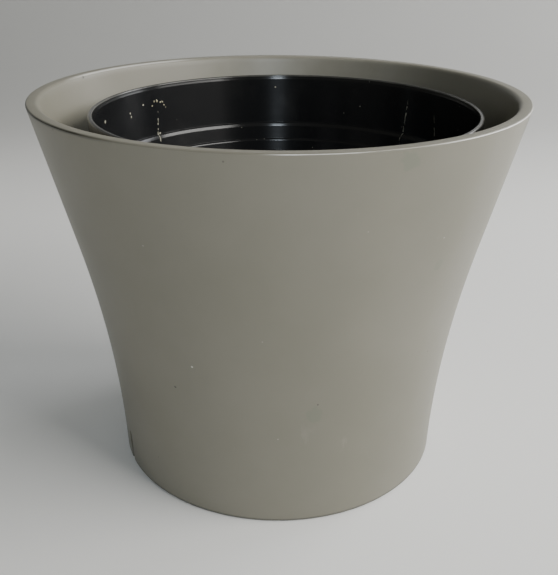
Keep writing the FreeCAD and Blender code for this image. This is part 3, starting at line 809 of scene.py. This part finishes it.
# drain plug, its lugs and its finger grip
plug = {
    "segments": 72,
    "outlines": [
        [
            (0, 8.9),
            (14.0, 8.9, 1.0),
            (14.0, 12.5, 0.4),
            (8.7, 12.5),
            (8.7, 26.4, 0.5),
            (0, 26.4),
        ]
    ],
    "features": [
        barRing("lug", count=2, start=0, inside=1.0, outside=11.3, width=5.0, low=24.8, high=26.4),
        barRing("grip", count=2, start=0, inside=-0.5, outside=11.0, width=3.2, low=4.5, high=9.5),
    ],
}
drainPlug = turnedPiece("drainPlug", plug, finishes["plug"])
standIn(drainPlug, "plug", "plug_black", "drain_plug")


def washer(inner, outer, low, high):
    outline = [(inner, low, 0.3), (outer, low, 0.5), (outer, high, 0.5), (inner, high, 0.3)]
    return {"segments": 72, "outlines": [outline]}


plugSeal = turnedPiece("plugSeal", washer(8.7, 13.0, 12.5, 14.0), finishes["rubber"])
standIn(plugSeal, "plug", "seal_rubber", "drain_plug_seal")
print("casing and plug made")

# liner: radii and heights in mm, and its inside as (radius, height, corner round)
liner = {
    "segments": 288,
    "rim": 191.6,
    "rimRadius": 99.39,  # a hair inside the frame's box
    "rimRound": 1.0,
    "collarInside": 98.9,
    "collarLow": 184.6,
    "wall": 1.8,
    "floorTop": 34.7,
    "floorLow": 32.5,
    "hole": 7.2,
    "footInside": 77.4,
    "footOutside": 79.8,
    "footLow": 24.5,
    "inside": [
        (97.3, 191.6, 0.9),
        (97.1, 190.1, 0.2),
        (96.85, 189.2, 0.3),
        (96.8, 162.6, 0.15),
        (95.6, 162.0, 0.3),
        (94.8, 160.3, 0.6),
        (94.4, 152.6, 0.15),
        (93.3, 152.0, 0.2),
        (93.0, 151.4, 0.3),
        (92.7, 145.6, 0.15),
        (91.8, 145.1, 0.2),
        (91.5, 144.5, 0.3),
        (79.4, 34.7, 3.0),
    ],
}


def linerOutline(size):
    # the outside follows the steps of the inside, a wall's thickness away and half of one lower
    wall = size["wall"]
    outside = [(r + wall, z - wall / 2, turn) for r, z, turn in size["inside"][3:-1]]
    return [
        *size["inside"],
        (size["hole"], size["floorTop"], 0.3),
        (size["hole"], size["floorLow"], 0.3),
        (size["footInside"], size["floorLow"], 1.0),
        (size["footInside"], size["footLow"], 0.5),
        (size["footOutside"], size["footLow"], 0.5),
        *outside[::-1],
        (size["collarInside"], size["collarLow"], 0.2),
        (size["rimRadius"], size["collarLow"], 0.3),
        (size["rimRadius"], size["rim"], size["rimRound"]),
    ]


liner["outlines"] = [linerOutline(liner)]
liner["features"] = [
    barRing("cut", count=6, start=30, inside=75.0, outside=84.0, width=10.0, low=23.0, high=28.5),
]
linerShell = turnedPiece("linerShell", liner, finishes["liner"], (linerAxis, 0))
standIn(linerShell, "liner", "liner_black", "liner_pot")

# crumbs of dry soil stuck in a bow under the liner's rim, in mm and in degrees round its axis
crumbs = {
    "count": 8,
    "seed": 7,
    "from": 136.6,
    "to": 143.8,
    "crest": 181.9,
    "crestAt": 141.0,
    "sag": 0.26,  # mm for the square of each degree from the crest
    "stray": 0.9,
    "wallRadius": 97.0,
    "grain": 0.55,
    "smallest": (0.4, 0.4, 0.4),
    "largest": (2.1, 1.4, 1.2),
}


def crumbPiece(name, size, material, stand):
    net = Growth(
        name,
        [
            ("Count", "Int", size["count"]),
            ("Seed", "Int", size["seed"]),
            ("From", "Float", size["from"]),
            ("To", "Float", size["to"]),
            ("Crest", "Float", size["crest"] * mm),
            ("Crest At", "Float", size["crestAt"]),
            ("Sag", "Float", size["sag"] * mm),
            ("Stray", "Float", size["stray"] * mm),
            ("Wall Radius", "Float", size["wallRadius"] * mm),
            ("Grain", "Float", size["grain"] * mm),
            ("Smallest", "Vector", size["smallest"]),
            ("Largest", "Vector", size["largest"]),
            ("Stand", "Vector", (stand * mm, 0, 0)),
            ("Finish", "Material", material),
        ],
    )
    taken = net.taken

    def chance(low, high, step):  # a random number for each crumb
        limits = {2: low, 3: high, "Seed": taken["Seed"] + step}
        return net.add("FunctionNodeRandomValue", {"data_type": "FLOAT"}, limits, out=1)

    def chances(low, high, step):  # three random numbers for each crumb
        limits = {0: low, 1: high, "Seed": taken["Seed"] + step}
        return net.add("FunctionNodeRandomValue", {"data_type": "FLOAT_VECTOR"}, limits)

    index = net.add("GeometryNodeInputIndex")
    share = (index + chance(0.1, 0.9, 0)) / taken["Count"]
    bearing = taken["From"] + share * (taken["To"] - taken["From"])
    away = bearing - taken["Crest At"]
    height = taken["Crest"] - away * away * taken["Sag"] + chance(taken["Stray"] * -1, taken["Stray"], 1)
    turn = bearing * (math.pi / 180)
    across = taken["Wall Radius"] * turn.cosine()
    along = taken["Wall Radius"] * turn.sine()
    places = {"Count": taken["Count"], "Position": net.join(across, along, height)}
    grain = net.add("GeometryNodeMeshIcoSphere", {}, {"Radius": taken["Grain"], "Subdivisions": 2})
    strewn = {
        "Points": net.add("GeometryNodePoints", {}, places),
        "Instance": grain,
        "Rotation": chances((0, 0, 0), (3, 3, 3), 2),
        "Scale": chances(taken["Smallest"], taken["Largest"], 3),
    }
    return net.grow(net.add("GeometryNodeInstanceOnPoints", {}, strewn), sharpAngle=60)


soilCrumbs = crumbPiece("soilCrumbs", crumbs, finishes["crumb"], linerAxis)
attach(soilCrumbs, "liner")

# overflow: standpipe, washer, back nut and strainer
pipe = {
    "segments": 64,
    "outlines": [
        [
            (5.2, 27.0, 0.3),
            (7.0, 27.0, 0.4),
            (7.0, 36.2),
            (11.5, 36.2, 0.4),
            (11.5, 38.2, 0.6),
            (7.0, 38.2, 0.6),
            (7.0, 65.7, 0.4),
            (5.2, 65.7, 0.3),
        ]
    ],
}
backNut = {
    "segments": 6,
    "outlines": [[(0, 28.0), (11.6, 28.0), (12.7, 29.0), (12.7, 32.5), (0, 32.5)]],
    "features": [
        drillRing(count=1, start=0, orbit=0, sides=64, radius=7.0, low=27.0, high=33.5),
    ],
}
strainer = {
    "segments": 64,
    "outlines": [
        [
            (7.0, 59.7, 0.2),
            (8.2, 59.7, 0.4),
            (8.2, 69.2, 0.6),
            (6.2, 71.2, 0.6),
            (0, 71.2),
            (0, 70.0),
            (5.6, 70.0, 0.3),
            (7.0, 68.6, 0.3),
        ]
    ],
    "features": [
        barRing("cut", count=8, start=0, inside=2.2, outside=9.2, width=1.6, low=66.3, high=72.2),
    ],
}
onLiner = (linerAxis, 0)
for name, piece, finish, slot, node in (
    ("overflowPipe", pipe, "insert", "insert_black", "overflow_pipe"),
    ("overflowSeal", washer(7.0, 11.5, 34.7, 36.2), "rubber", "seal_rubber", "overflow_seal"),
    ("overflowNut", backNut, "insert", "insert_black", "overflow_nut"),
    ("overflowStrainer", strainer, "insert", "insert_black", "overflow_strainer"),
):
    standIn(turnedPiece(name, piece, finishes[finish], onLiner), "liner", slot, node)
print("liner and overflow made")

# insert: separator, wicking cups and filling shaft
cup = {
    "bearings": [12.0, 90.0, 168.0],
    "orbit": 50.0,
    "segments": 72,
    "outlines": [
        [
            (0, 34.71),
            (12.0, 34.71, 0.8),
            (17.4, 71.5, 0.3),
            (18.0, 71.5, 0.3),
            (18.0, 73.5, 0.3),
            (15.0, 73.5),
            (15.0, 76.2),
            (15.6, 77.0, 0.4),
            (15.0, 78.4, 0.4),
            (13.4, 78.4, 0.4),
            (13.4, 70.5, 1.0),
            (11.0, 36.3, 1.0),
            (0, 36.3),
        ]
    ],
    "features": [
        barRing(
            "cut",
            roundTop=True,
            count=8,
            start=0,
            inside=8.0,
            outside=19.0,
            width=2.4,
            low=39.7,
            high=62.7,
        ),
        drillRing(count=4, start=45, orbit=6.0, sides=20, radius=1.3, low=33.0, high=38.0),
    ],
}
shaft = {
    "y": -56.0,
    "segments": 80,
    "outlines": [
        [
            (12.4, 36.2, 0.3),
            (14.0, 36.2, 0.5),
            (14.0, 76.0),
            (18.0, 76.0, 0.3),
            (18.0, 78.0, 0.7),
            (14.0, 78.0, 0.8),
            (14.0, 164.0, 0.3),
            (12.4, 164.0, 0.3),
        ]
    ],
    "features": [
        barRing("cut", count=4, start=45, inside=10.0, outside=16.0, width=8.0, low=39.2, high=48.2),
        barRing("bar", count=4, start=0, inside=-0.6, outside=13.2, width=2.4, low=36.2, high=37.8),
    ],
}
cupPlaces = [
    (cup["orbit"] * math.cos(math.radians(turn)), cup["orbit"] * math.sin(math.radians(turn)))
    for turn in cup["bearings"]
]
separator = {
    "segments": 160,
    "rings": [(12.0, 6), (22.0, 12), (32.0, 16), (42.0, 24), (52.0, 30), (62.0, 36), (72.0, 40)],
    "mouths": [(15.15, 77.0), (18.5, 73.5)],
    "keepClear": 22.0,  # from the middle of each cup and of the shaft
    "outlines": [
        [
            (0, 73.5),
            (14.0, 73.5),
            (14.0, 68.5, 0.4),
            (16.0, 68.5, 0.4),
            (16.0, 73.5),
            (83.0, 73.5, 0.6),
            (83.0, 75.0),
            (83.5, 81.0, 0.6),
            (81.7, 81.0, 0.6),
            (81.2, 76.0, 0.8),
            (0, 76.0),
        ]
    ],
    "features": [
        barRing("rib", count=6, start=51, inside=15.0, outside=78.0, width=2.0, low=68.5, high=74.5),
    ],
}
keepClear = [(x, y, separator["keepClear"]) for x, y in cupPlaces + [(0, shaft["y"])]]
drills = separator["features"]
for orbit, count in separator["rings"]:
    vents = {"count": count, "start": 180 / count, "orbit": orbit, "sides": 20, "radius": 1.7}
    drills.append(drillRing(keepClear, **vents, low=67.0, high=77.0))
for turn in cup["bearings"]:
    for radius, high in separator["mouths"]:
        mouth = {"count": 1, "start": turn, "orbit": cup["orbit"], "sides": 72, "radius": radius}
        drills.append(drillRing(**mouth, low=66.0, high=high))
drills.append(drillRing(count=1, start=-90, orbit=-shaft["y"], sides=80, radius=14.15, low=66.0, high=77.0))
onShaft = (linerAxis, shaft["y"])

separatorPlate = turnedPiece("separatorPlate", separator, finishes["insert"], onLiner)
standIn(separatorPlate, "insert", "insert_black", "separator_plate")
for number, (x, y) in enumerate(cupPlaces, start=1):
    wickCup = turnedPiece(f"wickCup{number}", cup, finishes["insert"], (linerAxis + x, y))
    standIn(wickCup, "insert", "insert_black", f"wick_cup_{number}")
waterShaft = turnedPiece("waterShaft", shaft, finishes["insert"], onShaft)
standIn(waterShaft, "insert", "insert_black", "water_shaft")

# gauge: funnel head, sight tube, lens and stem guide
head = {
    "segments": 96,
    "outlines": [
        [
            (14.1, 156.0, 0.3),
            (15.7, 156.0, 0.4),
            (15.7, 164.5, 2.0),
            (20.0, 174.0, 0.7),
            (18.4, 174.0, 0.7),
            (14.0, 165.6, 0.8),
            (12.4, 165.6, 0.4),
            (12.4, 164.0, 0.3),
            (14.1, 164.0),
        ],
        [(5.6, 164.0, 0.3), (7.4, 164.0, 0.4), (7.4, 171.0, 0.4), (5.6, 171.0, 0.3)],
    ],
    "features": [
        barRing("spoke", count=3, start=30, inside=6.6, outside=13.2, width=2.2, low=164.0, high=167.0),
    ],
}
sightTube = {
    "segments": 64,
    "outlines": [
        [
            (4.3, 98.0, 0.2),
            (5.5, 98.0, 0.2),
            (5.5, 171.0),
            (7.2, 171.0, 0.3),
            (7.2, 172.2, 0.3),
            (4.3, 172.2, 0.2),
        ]
    ],
}
lens = {
    "segments": 64,
    "outlines": [
        [
            (5.7, 172.2),
            (6.6, 172.2, 0.2),
            (6.6, 175.4, 1.5),
            (0, 175.4),
            (0, 174.5),
            (5.7, 174.5, 0.6),
        ]
    ],
}
guide = {
    "segments": 48,
    "outlines": [
        [
            (1.9, 96.8, 0.3),
            (5.5, 96.8, 0.4),
            (5.5, 98.0, 0.2),
            (4.3, 98.0),
            (4.3, 102.0, 0.4),
            (1.9, 102.0, 0.3),
        ]
    ],
}
floatBody = {
    "segments": 80,
    "outlines": [[(1.5, 37.81), (11.0, 37.81, 4.0), (11.0, 59.8, 4.0), (1.5, 59.8)]],
}
stem = {
    "segments": 32,
    "outlines": [[(0, 39.8), (1.5, 39.8, 0.2), (1.5, 142.0, 0.2), (0, 142.0)]],
}
pointer = {
    "segments": 48,
    "outlines": [
        [
            (1.5, 132.5, 0.2),
            (3.6, 132.5, 0.4),
            (3.6, 144.5, 1.2),
            (0, 144.5),
            (0, 142.0),
            (1.5, 142.0),
        ]
    ],
}
for name, piece, finish, body, slot, node in (
    ("shaftHead", head, "insert", "gauge", "insert_black", "shaft_head"),
    ("gaugeTube", sightTube, "clear", "gauge", "gauge_clear", "gauge_tube"),
    ("gaugeLens", lens, "clear", "gauge", "gauge_clear", "gauge_cap"),
    ("stemGuide", guide, "insert", "gauge", "insert_black", "stem_guide"),
    ("floatBody", floatBody, "foam", "float", "float_white", "float_body"),
    ("floatStem", stem, "stem", "float", "stem_white", "float_stem"),
    ("floatPointer", pointer, "pointer", "float", "pointer_red", "float_pointer"),
):
    standIn(turnedPiece(name, piece, finishes[finish], onShaft), body, slot, node)
print("insert, gauge and float made")

# floor and backdrop in one pale sweep, a little deeper in tone at the back
sweep = {
    "front": -6.0,
    "back": 0.75,
    "bend": 0.5,
    "half": 6.0,
    "top": 2.6,
    "steps": 18,
    "pale": paint(0.90, 0.895, 0.88),
    "deep": paint(0.50, 0.50, 0.49),
    "fade": (0.3, 1.0),
    "rough": 0.85,
}


def paleSweep(size):
    line = [(size["front"], 0.0), (size["back"], 0.0)]
    for step in range(1, size["steps"] + 1):
        turn = math.pi / 2 * step / size["steps"]
        away = size["back"] + size["bend"] * math.sin(turn)
        line.append((away, size["bend"] * (1 - math.cos(turn))))
    line.append((size["back"] + size["bend"], size["top"]))
    points = [(x, y, z) for y, z in line for x in (-size["half"], size["half"])]
    faces = [(2 * n, 2 * n + 1, 2 * n + 3, 2 * n + 2) for n in range(len(line) - 1)]
    mesh = bpy.data.meshes.new("floor")
    mesh.from_pydata(points, [], faces)
    mesh.shade_smooth()
    floor = bpy.data.objects.new("floor", mesh)
    scene.collection.objects.link(floor)
    finish = Finish("paleFloor")
    colour = finish.mix(size["pale"], size["deep"], finish.axes()[1].within(*size["fade"]))
    mesh.materials.append(finish.done(colour, size["rough"]))


paleSweep(sweep)

# big soft windows at the right, and a small cool one behind the camera for the glints
lights = [
    {
        "name": "window",
        "at": (1.50, -0.55, 1.15),
        "aim": (0, 0, 0.12),
        "size": (1.7, 0.9),
        "watts": 43.0,
        "tint": (1.0, 0.985, 0.95),
    },
    {
        "name": "side",
        "at": (1.45, 1.00, 0.90),
        "aim": (0, 0, 0.12),
        "size": (1.1, 0.9),
        "watts": 20.0,
        "tint": (0.97, 0.98, 1.0),
    },
    {
        "name": "cool",
        "at": (0.17, -1.70, 1.02),
        "aim": (0, 0, 0.15),
        "size": (0.22, 0.5),
        "watts": 9.5,
        "tint": (0.80, 0.90, 1.0),
    },
]
room = {"tint": paint(0.96, 0.94, 0.80), "strength": 0.12}


def hangLight(size):
    lamp = bpy.data.lights.new(size["name"], "AREA")
    lamp.shape = "RECTANGLE"
    lamp.size, lamp.size_y = size["size"]
    lamp.energy = size["watts"]
    lamp.color = size["tint"]
    lit = bpy.data.objects.new(size["name"], lamp)
    lit.location = size["at"]
    lit.rotation_euler = (Vector(size["aim"]) - Vector(size["at"])).to_track_quat("-Z", "Y").to_euler()
    scene.collection.objects.link(lit)


for light in lights:
    hangLight(light)
scene.world = bpy.data.worlds.new("room")
scene.world.use_nodes = True
glow = scene.world.node_tree.nodes["Background"].inputs
glow["Color"].default_value = room["tint"]
glow["Strength"].default_value = room["strength"]

# camera: before the front, a little over the rim, looking down into the mouth
view = {
    "at": (0.0, -0.4079, 0.2750),
    "down": 0.4258,
    "aside": 0.0009,
    "roll": 0.0052,
    "lens": 49.59,
    "sensor": 36,
    "near": 0.02,
}


def standCamera(size):
    ahead = Vector(
        (
            math.sin(size["aside"]) * math.cos(size["down"]),
            math.cos(size["aside"]) * math.cos(size["down"]),
            -math.sin(size["down"]),
        )
    )
    right = Vector((math.cos(size["aside"]), -math.sin(size["aside"]), 0))
    up = right.cross(ahead)
    across = math.cos(size["roll"]) * right + math.sin(size["roll"]) * up
    upright = math.cos(size["roll"]) * up - math.sin(size["roll"]) * right
    data = bpy.data.cameras.new("camera")
    data.lens = size["lens"]
    data.sensor_width = size["sensor"]
    data.clip_start = size["near"]
    camera = bpy.data.objects.new("camera", data)
    turned = Matrix((across, upright, -ahead)).transposed().to_4x4()
    camera.matrix_world = Matrix.Translation(size["at"]) @ turned
    scene.collection.objects.link(camera)
    scene.camera = camera


standCamera(view)
print("stage, lights and camera set")
